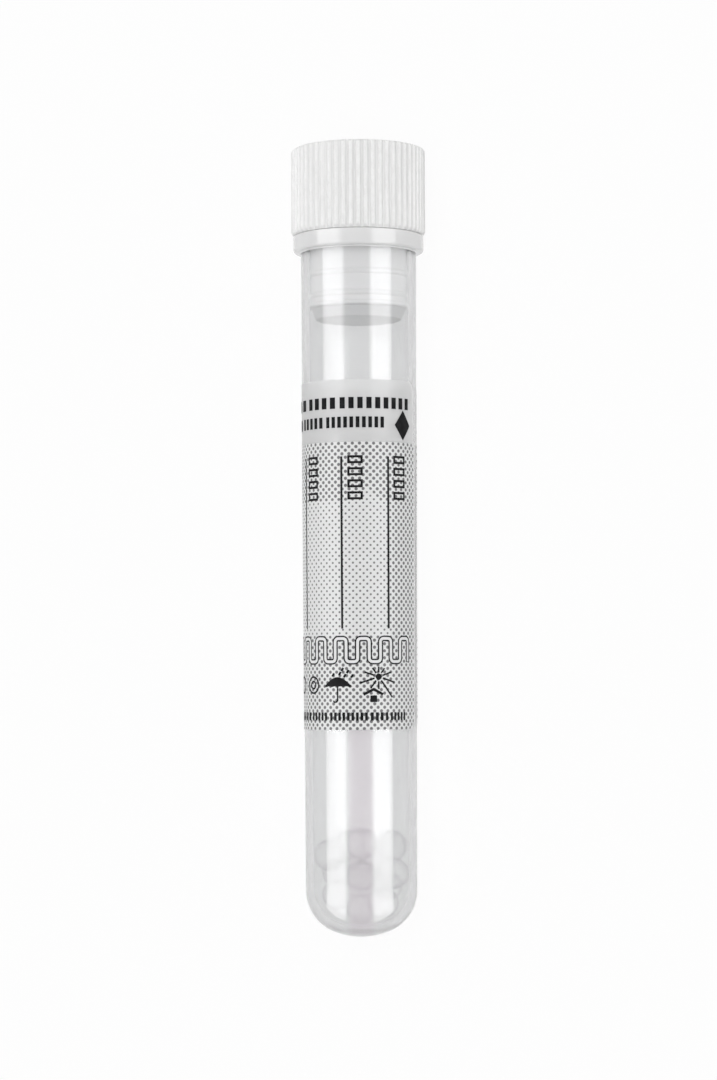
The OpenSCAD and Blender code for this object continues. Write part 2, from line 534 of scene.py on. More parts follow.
@dataclass(frozen=True)
class ClearPlastic:
    """Polypropylene: clear with a slight haze, glossy, a little wavy from the mould.

    What it absorbs is per metre of its own depth.
    """

    name: str = "clear polypropylene"
    tint: Colour = (0.937, 0.939, 0.941, 1)
    deep_tint: Colour = (0.925, 0.928, 0.931, 1)
    # Tint and roughness of a faint mauve streak along the upper side, below the label.
    streak_tint: Colour = (0.94, 0.905, 0.932, 1)
    roughness: float = 0.08
    streak_roughness: float = 0.17
    haze: float = 0.12
    ior: float = 1.49
    absorb: float = 240.0
    absorb_tint: Colour = (0.5, 0.5, 0.51, 1)
    skin: Skin = Skin(grain_w=0.4, wave_w=6.0, wave_share=0.8, strength=0.3, depth=0.012)
    streak_half_w: float = 1.25
    streak_edge: float = 0.2
    streak_top: float = 24.0
    streak_top_edge: float = 1.0
    streak_rise: Span = (1.0, 2.0)

    @classmethod
    def milky(cls) -> "ClearPlastic":
        """The milkier look of the same plastic where it is thick.

        Returns:
            The finish.
        """
        return cls(
            "milky polypropylene",
            tint=(0.98, 0.98, 0.982, 1),
            deep_tint=(0.96, 0.96, 0.962, 1),
            roughness=0.12,
            haze=0.8,
            absorb=40.0,
        )

    def streak(self, s: Sheet, where: NodeSocket, axis: TubeAxis) -> NodeSocket:
        """The mask of a faint mauve streak, a strip on the upper side below the label.

        Args:
            s: the material's sheet.
            where: the place on the surface.
            axis: where the tube lies.

        Returns:
            The mask: 1 on the coat.
        """
        right, along, up = s.add("SeparateXYZ", {0: where}).outputs
        near = s.below(s.math("ABSOLUTE", right), self.streak_half_w * MM, self.streak_edge * MM)
        lower = s.below(along, axis.spot(0, 0, self.streak_top).y, self.streak_top_edge * MM)
        start, end = (axis.tip.z + rise * MM for rise in self.streak_rise)
        upper = s.ramp(up, start, end, 0.0, 1.0)
        return s.math("MULTIPLY", s.math("MULTIPLY", near, lower), upper)

    def material(self, effects: SharedEffects, axis: TubeAxis) -> Material:
        """The finish, with a faint mauve, rougher streak on its upper side.

        Args:
            effects: the shared node groups.
            axis: where the tube lies.

        Returns:
            The material.
        """
        constants = {"IOR": self.ior, "Transmission Weight": 1 - self.haze}
        material, s, shader = plain_material(self.name, constants)
        where, cloud, _ = self.skin.lay(s, shader, effects)
        streak = self.streak(s, where, axis)
        body = s.blend(cloud, self.tint, self.deep_tint)
        s.feed(shader.inputs["Base Color"], s.blend(streak, body, self.streak_tint))
        rough = s.ramp(streak, 0.0, 1.0, self.roughness, self.streak_roughness)
        s.feed(shader.inputs["Roughness"], rough)
        inside = s.add("VolumeAbsorption", {"Color": self.absorb_tint, "Density": self.absorb})
        out = next(n for n in s.tree.nodes if n.type == "OUTPUT_MATERIAL")
        s.feed(out.inputs["Volume"], inside.outputs[0])
        return material


@dataclass(frozen=True)
class WhitePlastic:
    """Low-density polyethylene: milky white and satin, with a fine moulded grain and painted shade in
    its valleys and on its plug.
    """

    colour: Colour = (0.96, 0.96, 0.957, 1)
    shade: Colour = (0.86, 0.86, 0.857, 1)
    # Painted shade in the valleys between the ribs.
    valley: Colour = (0.79, 0.79, 0.787, 1)
    # Painted shade on the plug.
    plug: Colour = (0.77, 0.77, 0.768, 1)
    # Painted shade, deeper, on the plug's floor.
    thick: Colour = (0.51, 0.51, 0.51, 1)
    roughness: float = 0.31
    rougher: float = 0.1
    glow: float = 0.05
    glow_depth: float = 0.4
    skin: Skin = Skin(grain_w=0.11, wave_w=1.3, wave_share=0.35, strength=0.4, depth=0.03)
    floor_top: float = 67.1
    plug_top: float = 75.2
    top_edge: float = 0.15
    valley_r: Span = (6.9, 6.99)
    valley_edge: float = 0.03
    crest_r: float = 7.18

    def between(self, s: Sheet, where: NodeSocket, axis: TubeAxis) -> NodeSocket:
        """The mask of the painted shade in the valleys between the ribs, by the distance from the
        axis.

        Args:
            s: the material's sheet.
            where: the place on the surface.
            axis: where the tube lies.

        Returns:
            The mask: 1 in the valleys and 0 on the crests and inside the head.
        """
        off = s.add("VectorMath", {0: where, 1: tuple(axis.tip)}, operation="SUBTRACT").outputs[0]
        arm = s.add("VectorMath", {0: off, 1: tuple(axis.along)}, operation="CROSS_PRODUCT")
        radius = s.add("VectorMath", {0: arm.outputs[0]}, operation="LENGTH").outputs[1]
        inner, outer = (r * MM for r in self.valley_r)
        inside = s.ramp(radius, inner, inner + self.valley_edge * MM, 0.0, 1.0)
        return s.math("MULTIPLY", inside, s.ramp(radius, outer, self.crest_r * MM, 1.0, 0.0))

    def material(self, effects: SharedEffects, axis: TubeAxis) -> Material:
        """The finish, with painted shade between the ribs, on the plug and, deepest, on the plug's
        floor.

        Args:
            effects: the shared node groups.
            axis: where the tube lies.

        Returns:
            The material.
        """
        constants = {
            "Subsurface Weight": self.glow,
            "Subsurface Radius": (1.0, 1.0, 1.0),
            "Subsurface Scale": self.glow_depth * MM,
        }
        material, s, shader = plain_material("white polyethylene", constants)
        where, cloud, speck = self.skin.lay(s, shader, effects)
        along = s.add("SeparateXYZ", {0: where}).outputs[1]
        mottle = s.math("MULTIPLY", s.math("ADD", cloud, speck), 0.5)
        body = s.blend(mottle, self.shade, self.colour)
        # Painted shade in the valleys between the ribs.
        body = s.blend(self.between(s, where, axis), body, self.valley)
        # Painted shade on the plug and, deeper, on its floor.
        for top, colour in ((self.plug_top, self.plug), (self.floor_top, self.thick)):
            lower = s.below(along, axis.spot(0, 0, top).y, self.top_edge * MM)
            body = s.blend(lower, body, colour)
        s.feed(shader.inputs["Base Color"], body)
        rough = s.ramp(cloud, 0.0, 1.0, self.roughness, self.roughness + self.rougher)
        s.feed(shader.inputs["Roughness"], rough)
        return material


@dataclass(frozen=True)
class BeadPlastic:
    """Polystyrene granules: translucent white and smooth, with painted shade towards their rims."""

    colour: Colour = (1.0, 1.0, 1.0, 1)
    dim: Colour = (0.97, 0.97, 0.97, 1)
    # Painted shade at the granules' rims, where they turn from the camera.
    rim: Colour = (0.3, 0.3, 0.303, 1)
    rim_shade_power: float = 2.5
    roughness: float = 0.05
    milk: float = 0.15
    ior: float = 1.12
    skin: Skin = Skin(grain_w=0.15, wave_w=1.2, wave_share=0.7, strength=0.3, depth=0.02)

    def material(self, effects: SharedEffects) -> Material:
        """The finish.

        Args:
            effects: the shared node groups.

        Returns:
            The material.
        """
        constants = {
            "Roughness": self.roughness,
            "IOR": self.ior,
            "Transmission Weight": 1 - self.milk,
        }
        material, s, shader = plain_material("translucent polystyrene", constants)
        _, cloud, _ = self.skin.lay(s, shader, effects)
        # Painted shade: the base colour darkens towards each rim as the surface turns from the camera.
        facing = s.add("LayerWeight", {"Blend": 0.5}).outputs["Facing"]
        rim = s.math("POWER", facing, self.rim_shade_power)
        body = s.blend(cloud, self.colour, self.dim)
        s.feed(shader.inputs["Base Color"], s.blend(rim, body, self.rim))
        return material


@dataclass(frozen=True)
class LabelFilm:
    """Milky matt film: a plain band, and below it a whiter field with a screen of grey dots."""

    film: Colour = (0.95, 0.95, 0.952, 1)
    ink: Colour = (0.17, 0.17, 0.174, 1)
    plain_alpha: float = 0.45
    field_alpha: float = 0.86
    ink_alpha: float = 0.93
    roughness: float = 0.42
    gloss: float = 0.3
    skin: Skin = Skin(grain_w=0.15, wave_w=2.5, wave_share=0.6, strength=0.3, depth=0.01)
    pitch: float = 0.524
    dot_w: float = 0.225
    dot_more_w: float = 0.115
    dot_soft: float = 0.06
    screen_top_z: float = 52.4
    screen_edge: float = 0.01
    top_band_z: float = 46.2
    peak: float = 1.5
    peak_at: float = 0.8
    low_band_z: float = 31.9
    band_edge: float = 0.2
    right_field: float = 3.5
    right_edge: float = 0.3

    def bold(self, s: Sheet, across: NodeSocket, along: NodeSocket) -> NodeSocket:
        """The mask of the screen's bolder dots: a band above, one below and a field at the right.

        Args:
            s: the material's sheet.
            across: distance round the tube, in millimetres.
            along: height, in millimetres.

        Returns:
            The mask: 1 where the dots are bolder.
        """
        away = s.math("ABSOLUTE", s.math("SUBTRACT", across, self.peak_at))
        rise = s.math("MAXIMUM", s.math("SUBTRACT", self.peak, away), 0.0)
        line = s.math("SUBTRACT", along, s.math("ADD", rise, self.top_band_z))
        top = s.above(line, 0.0, self.band_edge)
        low = s.below(along, self.low_band_z, self.band_edge)
        right = s.above(across, self.right_field, self.right_edge)
        return s.math("MAXIMUM", s.math("MAXIMUM", top, low), right)

    def material(self, effects: SharedEffects) -> Material:
        """The finish, drawn in the sheet's own millimetres, which its UV map holds.

        Args:
            effects: the shared node groups.

        Returns:
            The material.
        """
        constants = {"Roughness": self.roughness, "Specular IOR Level": self.gloss}
        material, s, shader = plain_material("label film", constants)
        self.skin.lay(s, shader, effects)
        flat = s.add("UVMap", uv_map=Label.uv_name)
        sides = s.add("SeparateXYZ", {0: flat.outputs[0]}).outputs
        across, along = (s.math("MULTIPLY", sides[k], Label.uv_span) for k in (0, 1))
        more = s.math("MULTIPLY", self.bold(s, across, along), self.dot_more_w)
        dots = {"Pitch": self.pitch, "Softness": self.dot_soft}
        dots["Dot Width"] = s.math("ADD", more, self.dot_w)
        screen = s.group(effects.screen, {"Across": across, "Along": along, **dots})
        zone = s.below(along, self.screen_top_z, self.screen_edge)
        mask = s.math("MULTIPLY", screen["Mask"], zone)
        s.feed(shader.inputs["Base Color"], s.blend(mask, self.film, self.ink))
        film_alpha = s.ramp(zone, 0.0, 1.0, self.plain_alpha, self.field_alpha)
        s.feed(shader.inputs["Alpha"], s.ramp(mask, 0.0, 1.0, film_alpha, self.ink_alpha))
        return material


@dataclass(frozen=True)
class PrintInk:
    """Printing ink, satin and a little uneven."""

    name: str = "black ink"
    colour: Colour = (0.006, 0.006, 0.0065, 1)
    worn: Colour = (0.015, 0.015, 0.016, 1)
    roughness: float = 0.6
    gloss: float = 0.05
    skin: Skin = Skin(grain_w=0.08, wave_w=0.8, wave_share=0.5)

    @classmethod
    def white(cls) -> "PrintInk":
        """The white ink."""
        return cls("white ink", colour=(0.88, 0.88, 0.882, 1), worn=(0.92, 0.92, 0.922, 1))

    def material(self, effects: SharedEffects) -> Material:
        """The finish.

        Args:
            effects: the shared node groups.

        Returns:
            The material.
        """
        constants = {"Roughness": self.roughness, "Specular IOR Level": self.gloss}
        material, s, shader = plain_material(self.name, constants)
        _, cloud, _ = self.skin.lay(s, shader, effects)
        s.feed(shader.inputs["Base Color"], s.blend(cloud, self.colour, self.worn))
        return material


# Sub-assemblies


@dataclass
class Tube:
    """The round-bottomed tube with its collar, one moulding."""

    length: float = 75.0
    side_d: float = 12.4
    draft: float = 0.21
    wall: float = 0.83
    tip_wall: float = 0.95
    crown_r: float = 8.0
    corner_r: float = 4.7
    collar_w: float = 0.82
    collar_h: float = 1.75
    collar_low_r: float = 0.65
    collar_top_r: float = 0.15
    mouth_w: float = 0.25
    mouth_h: float = 0.4
    mouth_top_r: float = 0.06
    mouth_low_r: float = 0.2
    root_r: float = 0.12
    root_below: float = 1.0
    bore_below: float = 2.0
    milky_below: float = 0.2
    segments: int = 288
    side_spans: int = 24
    end_spans: int = 16
    collar_spans: int = 8
    outer: RoundEnd = field(init=False)
    inner: RoundEnd = field(init=False)

    def __post_init__(self) -> None:
        """Works out the round end, outside and inside."""
        taper = math.tan(math.radians(self.draft)) * (self.collar_z - self.corner_r)
        end_r = self.side_d / 2 - taper
        self.outer = RoundEnd(0.0, end_r, self.corner_r, self.crown_r)
        corner_r, crown_r = self.corner_r - self.wall, self.crown_r - self.tip_wall
        self.inner = RoundEnd(self.tip_wall, end_r - self.wall, corner_r, crown_r)

    @property
    def collar_z(self) -> float:
        """Height of the collar's underside."""
        return self.length - self.collar_h

    @property
    def collar_r(self) -> float:
        """Radius of the collar."""
        return self.side_d / 2 + self.collar_w

    def side_r(self, z: float) -> float:
        """Outer radius of the side at a height."""
        share = (z - self.outer.side_z) / (self.collar_z - self.outer.side_z)
        return self.outer.side_r + (self.side_d / 2 - self.outer.side_r) * share

    def bore_r(self, z: float) -> float:
        """Radius of the bore at a height."""
        share = (z - self.inner.side_z) / (self.collar_z - self.inner.side_z)
        return self.inner.side_r + (self.side_d / 2 - self.wall - self.inner.side_r) * share

    def section(self) -> list[Point]:
        """The half section, up the outside, over the rim and down the bore.

        Returns:
            Points of radius and height.
        """
        root_z, bore_z = self.collar_z - self.root_below, self.length - self.bore_below
        mouth_z = self.length - self.mouth_h
        collar = rounded(
            [
                (self.side_r(root_z), root_z),
                (self.side_d / 2, self.collar_z),
                (self.collar_r, self.collar_z),
                (self.collar_r, self.length),
                (self.bore_r(self.length) + self.mouth_w, self.length),
                (self.bore_r(mouth_z), mouth_z),
                (self.bore_r(bore_z), bore_z),
            ],
            {
                1: self.root_r,
                2: self.collar_low_r,
                3: self.collar_top_r,
                4: self.mouth_top_r,
                5: self.mouth_low_r,
            },
            self.collar_spans,
        )
        side = spaced((self.outer.side_r, self.outer.side_z), collar[0], self.side_spans)
        bore = spaced(collar[-1], (self.inner.side_r, self.inner.side_z), self.side_spans)
        outer, inner = (end.section(self.end_spans) for end in (self.outer, self.inner))
        return joined(outer, side, collar, bore, inner[::-1])

    def build(self, axis: TubeAxis, clear: Material, milky: Material) -> None:
        """Makes the piece.

        Args:
            axis: where the tube lies.
            clear: the finish of its wall.
            milky: the finish of its thick collar.
        """
        points, faces = lathe(self.section(), self.segments)
        mesh = make_mesh("tube_moulding", axis.place(points), faces)
        add_piece("tube_moulding", mesh, clear, Body.VESSEL, ["tube"])
        mesh.materials.append(milky)
        for face, corners in zip(mesh.polygons, faces):
            if min(points[k][2] for k in corners) > self.collar_z - self.milky_below:
                face.material_index = 1


@dataclass
class Stopper:
    """The ribbed push-in stopper: head, hollow and plug with its sealing rings, one moulding."""

    tube: Tube
    head_h: float = 9.3
    head_w: float = 0.2
    ribs: int = 56
    rib_r: float = 0.25
    foot_r: float = 0.07
    low_cut_w: float = 0.25
    low_cut_h: float = 0.4
    edge_r: float = 0.3
    seat_gap: float = 0.04
    plug_l: float = 9.1
    plug_gap: float = 0.22
    ring_gap: float = 0.03
    ring_r: float = 0.35
    ring_depths: tuple[float, ...] = (4.3, 6.6, 7.7)
    lead_w: float = 0.55
    lead_h: float = 1.2
    lead_r: float = 0.25
    lead_above: float = 0.1
    lead_flat: float = 1.0
    plug_wall: float = 0.9
    floor: float = 1.3
    hollow_r: float = 0.8
    hollow_w: float = 0.5
    hollow_top_r: float = 0.1
    spans_per_rib: int = 14
    ring_spans: int = 10
    corner_spans: int = 6
    sharp: float = 50.0

    @property
    def low_z(self) -> float:
        """Height of the plug's closed end."""
        return self.tube.length - self.plug_l

    @property
    def seat_z(self) -> float:
        """Height of the head's seat."""
        return self.tube.length + self.seat_gap

    @property
    def top_z(self) -> float:
        """Height of the head's flat top."""
        return self.seat_z + self.head_h

    @property
    def head_r(self) -> float:
        """Radius over the ribs."""
        return self.tube.collar_r + self.head_w

    def wall_r(self, z: float) -> float:
        """Outer radius of the plug's wall."""
        return self.tube.bore_r(z) - self.plug_gap

    def rib_side(self, angles: np.ndarray, r: float, z: float) -> np.ndarray:
        """The radius round the head: round ribs that meet a plain valley with a small fillet.

        Args:
            angles: angles round the axis, in radians.
            r: radius that the section allows here.
            z: height.

        Returns:
            The radius at each angle.
        """
        ring = self.head_r - self.rib_r
        if r < ring or not self.seat_z - TOUCHING < z < self.top_z + TOUCHING:
            return np.full(len(angles), r)
        pitch = TURN / self.ribs
        away = ring * np.abs(np.sin((angles + pitch / 2) % pitch - pitch / 2))
        crest = np.sqrt(np.maximum(0, self.rib_r**2 - away**2))
        past = np.clip(self.rib_r + self.foot_r - away, 0, self.foot_r)
        foot = self.foot_r - np.sqrt(self.foot_r**2 - past**2)
        return np.minimum(ring + np.maximum(crest, foot), r)

    def ring(self, depth: float) -> list[Point]:
        """The half section of one sealing ring, where it stands out of the plug's wall.

        Args:
            depth: how far its middle is below the rim.

        Returns:
            Points of radius and height.
        """
        z = self.tube.length - depth
        middle = (self.tube.bore_r(z) - self.ring_gap - self.ring_r, z)
        sink = self.wall_r(z) - middle[0]
        half = math.degrees(math.acos(min(1.0, sink / self.ring_r)))
        return arc(middle, self.ring_r, -half, half, self.ring_spans)

    def plug_side(self) -> list[Point]:
        """The half section of the plug, from its closed end up to the head's seat.

        Returns:
            Points of radius and height.
        """
        low_z, lead_z = self.low_z, self.low_z + self.lead_h
        end_r = self.wall_r(low_z) - self.lead_w
        lip = rounded(
            [
                (end_r - self.lead_flat, low_z),
                (end_r, low_z),
                (self.wall_r(lead_z), lead_z),
                (self.wall_r(lead_z + self.lead_above), lead_z + self.lead_above),
            ],
            {1: self.lead_r},
        )
        rings = [self.ring(depth) for depth in sorted(self.ring_depths, reverse=True)]
        return joined([(0.0, low_z)], lip, *rings, [(self.wall_r(self.seat_z), self.seat_z)])

    def head_side(self) -> list[Point]:
        """The half section of the head, from its seat to the edge of its top.

        Returns:
            Points of radius and height.
        """
        seat_r, turn_z = self.head_r - self.low_cut_w, self.top_z - self.edge_r
        cut_z = self.seat_z + self.low_cut_h
        return joined(
            spaced((self.wall_r(self.seat_z), self.seat_z), (seat_r, self.seat_z), 2),
            spaced((seat_r, self.seat_z), (self.head_r, cut_z), 4),
            spaced((self.head_r, cut_z), (self.head_r, turn_z), 3),
            arc((self.head_r - self.edge_r, turn_z), self.edge_r, 0, 90, self.corner_spans),
        )

    def hollow_side(self) -> list[Point]:
        """The half section of the hollow, from the top down to the axis.

        Returns:
            Points of radius and height.
        """
        floor_z, r = self.low_z + self.floor, self.wall_r(self.low_z) - self.plug_wall
        corners = [
            (self.head_r - self.edge_r, self.top_z),
            (r + self.hollow_w, self.top_z),
            (r, self.top_z - self.hollow_w),
            (r, floor_z),
            (0.0, floor_z),
        ]
        radii = {1: self.hollow_top_r, 2: self.hollow_top_r, 3: self.hollow_r}
        return rounded(corners, radii, self.corner_spans)

    def build(self, axis: TubeAxis, material: Material) -> None:
        """Makes the piece.

        Args:
            axis: where the tube lies.
            material: its finish.
        """
        section = joined(self.plug_side(), self.head_side(), self.hollow_side())
        points, faces = lathe(section, self.ribs * self.spans_per_rib, self.rib_side)
        mesh = make_mesh("stopper_moulding", axis.place(points), faces, self.sharp)
        add_piece("stopper_moulding", mesh, material, Body.CLOSURE, ["stopper"])


@dataclass
class Granules:
    """Loose round granules at the round end, each with a faint seam and two flats from cutting."""

    radius: float = 1.64
    flat: float = 0.03
    seam: float = 0.015
    seam_w: float = 0.0984
    steps: int = 28
    segments: int = 56
    seed: int = 11

    def section(self) -> list[Point]:
        """The half section of one granule, from pole to pole about its own middle.

        Returns:
            Points of radius and height.
        """
        out, most = [], self.radius - self.flat
        for t in np.radians(np.linspace(-90, 90, self.steps + 1)):
            radius = self.radius - self.seam * math.exp(-((t * self.radius / self.seam_w) ** 2))
            out.append((max(0.0, radius * math.cos(t)), max(-most, min(most, radius * math.sin(t)))))
        return out

    def build(self, names: Sequence[str], material: Material) -> None:
        """Makes one piece for each granule of the frame, turned its own way.

        Args:
            names: the granules' nodes.
            material: their finish.
        """
        points, faces = lathe(self.section(), self.segments)
        chance = np.random.default_rng(self.seed)
        for name in names:
            low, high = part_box(name)
            turn = Matrix(np.linalg.qr(chance.normal(size=(3, 3)))[0].tolist())
            placed = points @ np.array(turn).T * MM + np.array((low + high) / 2)
            mesh = make_mesh(f"{name}_bead", placed, faces)
            add_piece(f"{name}_bead", mesh, material, Body.VESSEL, [name])


@dataclass
class Label:
    """The film label round the tube, and how ink is laid on it."""

    tube: Tube
    low_z: float = 22.1
    height: float = 36.9
    edge_a: float = 68.0
    bare_w: float = 2.7
    gap: float = 0.01
    film_t: float = 0.05
    corner_r: float = 1.2
    corner_spans: int = 8
    ink_t: float = 0.008
    ink_gap: float = 0.003
    column_w: float = 0.28
    rows: int = 24

    uv_name: ClassVar[str] = "sheet"
    uv_span: ClassVar[float] = 64.0

    @property
    def top_z(self) -> float:
        """Height of the label's upper edge."""
        return self.low_z + self.height

    @property
    def mid_r(self) -> float:
        """Outer radius of the tube's side at the middle of the label."""
        return self.tube.side_r(self.low_z + self.height / 2)

    @property
    def right(self) -> float:
        """The right edge, as a distance round the tube from the middle of its upper side."""
        return math.radians(self.edge_a) * self.mid_r

    @property
    def left(self) -> float:
        """The left edge, as the right one."""
        return self.right - (TURN * self.mid_r - self.bare_w)

    def wrap(self, flat: np.ndarray, lift: float) -> np.ndarray:
        """Points of the flat sheet, wrapped round the tube.

        Args:
            flat: rows of the distance round the tube and the height.
            lift: how far they stand off the tube's side.

        Returns:
            Rows of right, low and along.
        """
        turns = flat[:, 0] / self.mid_r
        radii = np.array([self.tube.side_r(z) for z in flat[:, 1]]) + lift
        return np.c_[radii * np.sin(turns), -radii * np.cos(turns), flat[:, 1]]

    def columns(self) -> list[np.ndarray]:
        """The flat sheet's columns of points, from left to right, shorter at the round corners.

        Returns:
            Rows of the distance round the tube and the height, for each column.
        """
        turns = np.linspace(0, math.pi / 2, self.corner_spans + 1)
        ends = self.corner_r * (1 - np.cos(turns))
        inner = self.left + self.corner_r, self.right - self.corner_r
        count = round((inner[1] - inner[0]) / self.column_w)
        middle = np.linspace(*inner, count + 1)
        out = []
        for s in np.concatenate([self.left + ends[:-1], middle, self.right - ends[-2::-1]]):
            near = self.corner_r - min(s - self.left, self.right - s, self.corner_r)
            trim = self.corner_r - math.sqrt(max(0.0, self.corner_r**2 - near**2))
            heights = np.linspace(self.low_z + trim, self.top_z - trim, self.rows + 1)
            out.append(np.c_[np.full(len(heights), s), heights])
        return out

    def film(self, axis: TubeAxis, material: Material) -> None:
        """Makes the film: one closed thin sheet with a flat UV map.

        Args:
            axis: where the tube lies.
            material: its finish.
        """
        columns = self.columns()
        flat = np.vstack(columns)
        points = np.vstack([self.wrap(flat, self.gap), self.wrap(flat, self.gap + self.film_t)])
        n, last, faces = self.rows + 1, len(columns) - 1, []
        for i in range(last):
            for a in range(i * n, i * n + self.rows):
                cell = (a, a + 1, a + n + 1, a + n)
                faces += [cell, tuple(len(flat) + k for k in cell[::-1])]
        rim = [i * n for i in range(last + 1)]
        rim += [last * n + j for j in range(1, n)]
        rim += [i * n + self.rows for i in range(last - 1, -1, -1)]
        rim += list(range(self.rows - 1, 0, -1))
        for a, b in zip(rim, rim[1:] + rim[:1]):
            faces.append((b, a, len(flat) + a, len(flat) + b))
        mesh = make_mesh("label_film", axis.place(points), faces)
        sheet = mesh.uv_layers.new(name=self.uv_name)
        both = np.vstack([flat, flat]) / self.uv_span
        for loop in mesh.loops:
            sheet.data[loop.index].uv = both[loop.vertex_index]
        add_piece("label_film", mesh, material, Body.VESSEL, ["label"])

    def print_shapes(
        self, name: str, axis: TubeAxis, shapes: Sequence[Shape], ink: Material
    ) -> None:
        """Makes one printed piece from shapes of ink, each a thin closed slab on the film.

        Args:
            name: name of the piece.
            axis: where the tube lies.
            shapes: each shape's two rails, and whether it closes on itself.
            ink: its finish.
        """
        points, faces = [], []
        base = self.gap + self.film_t + self.ink_gap
        for rails, closed in shapes:
            left, right = (np.array([pair[k] for pair in rails]) for k in (0, 1))
            columns = math.ceil(np.abs(right - left)[:, 0].max() / self.column_w) or 1
            shares = np.linspace(0, 1, columns + 1)[None, :, None]
            flat = (left[:, None] * (1 - shares) + right[:, None] * shares).reshape(-1, 2)
            at, n, w = len(points), len(rails), columns + 1
            top = at + len(flat)
            points += [*self.wrap(flat, base), *self.wrap(flat, base + self.ink_t)]
            for a, b in [(i * w, (i + 1) % n * w) for i in range(n if closed else n - 1)]:
                for j in range(columns):
                    cell = (a + j, b + j, b + j + 1, a + j + 1)
                    faces += [tuple(at + k for k in cell), tuple(top + k for k in cell[::-1])]
                for j in (0, columns):
                    faces.append((at + a + j, top + a + j, top + b + j, at + b + j))
            for row in () if closed else (0, (n - 1) * w):
                for k in range(row, row + columns):
                    faces.append((at + k, at + k + 1, top + k + 1, top + k))
        mesh = make_mesh(name, axis.place(np.array(points)), faces)
        add_piece(name, mesh, ink, Body.VESSEL)


# Print


@dataclass(frozen=True)
class Pen:
    """Draws shapes in the flat sheet, in steps short enough to follow the tube's curve."""

    step: float
    letter_gap: float = 0.4
    disc_cut: float = 2.0
    disc_steps: int = 16
    diamond_cut: float = 0.02
    diamond_steps: int = 14
    ring_steps: int = 36
    sharpest: float = 0.5

    def steps(self, run: float) -> int:
        """Number of steps for a run round the tube."""
        return max(1, math.ceil(run / self.step))

    def bar(self, left: float, right: float, low: float, high: float) -> Shape:
        """A filled bar."""
        places = np.linspace(left, right, self.steps(right - left) + 1)
        return [((s, low), (s, high)) for s in places], False

    def word(self, left: float, right: float, low: float, high: float, marks: int) -> list[Shape]:
        """A row of even marks in place of a word.

        Args:
            left: where it starts.
            right: where it ends.
            low: its lower edge.
            high: its upper edge.
            marks: number of marks.

        Returns:
            The marks.
        """
        pitch = (right - left) / (marks - self.letter_gap)
        starts = [left + i * pitch for i in range(marks)]
        return [self.bar(s, s + pitch * (1 - self.letter_gap), low, high) for s in starts]

    def disc(self, middle: Point, radius: float) -> Shape:
        """A filled disc, cut by a hair at both sides so that no rail shrinks to a spot.

        Args:
            middle: its middle.
            radius: its radius.

        Returns:
            The shape.
        """
        rails = []
        for t in np.radians(np.linspace(180 - self.disc_cut, self.disc_cut, self.disc_steps + 1)):
            s, rise = middle[0] + radius * math.cos(t), radius * math.sin(t)
            rails.append(((s, middle[1] - rise), (s, middle[1] + rise)))
        return rails, False

    def diamond(self, middle: Point, half_w: float, half_h: float) -> Shape:
        """A filled diamond, cut by a hair at both sides as a disc is.

        Args:
            middle: its middle.
            half_w: half its width.
            half_h: half its height.

        Returns:
            The shape.
        """
        rails = []
        for t in np.linspace(self.diamond_cut - 1, 1 - self.diamond_cut, self.diamond_steps + 1):
            s, rise = middle[0] + half_w * t, half_h * (1 - abs(t))
            rails.append(((s, middle[1] - rise), (s, middle[1] + rise)))
        return rails, False

    def stroke(self, path: Sequence[Point], width: float, closed: bool = False) -> Shape:
        """A line of even width along a path.

        Args:
            path: points of its middle.
            width: its width.
            closed: whether it closes on itself.

        Returns:
            The shape.
        """
        ends = [*path, path[0]] if closed else [*path]
        spots = [Vector(ends[0])]
        for a, b in zip(ends, ends[1:]):
            steps = self.steps(abs(b[0] - a[0]))
            spots += [Vector(a).lerp(Vector(b), (i + 1) / steps) for i in range(steps)]
        if closed:
            spots.pop()
        rails, n = [], len(spots)
        for i, p in enumerate(spots):
            before = spots[i - 1] if closed or i > 0 else p
            after = spots[(i + 1) % n] if closed or i < n - 1 else p
            into, out = (p - before).normalized(), (after - p).normalized()
            way = (into + out).normalized() if (into + out).length > TOUCHING else into
            square = Vector((-way.y, way.x))
            straight = into if into.length > 0 else out
            half = width / 2 / max(self.sharpest, abs(way.dot(straight)))
            a, b = p + square * half, p - square * half
            rails.append(((a.x, a.y), (b.x, b.y)))
        return rails, closed

    def ring(self, middle: Point, radius: float, width: float) -> Shape:
        """A ring."""
        path = arc(middle, radius, 0, 360, self.ring_steps)[:-1]
        return self.stroke(path, width, closed=True)


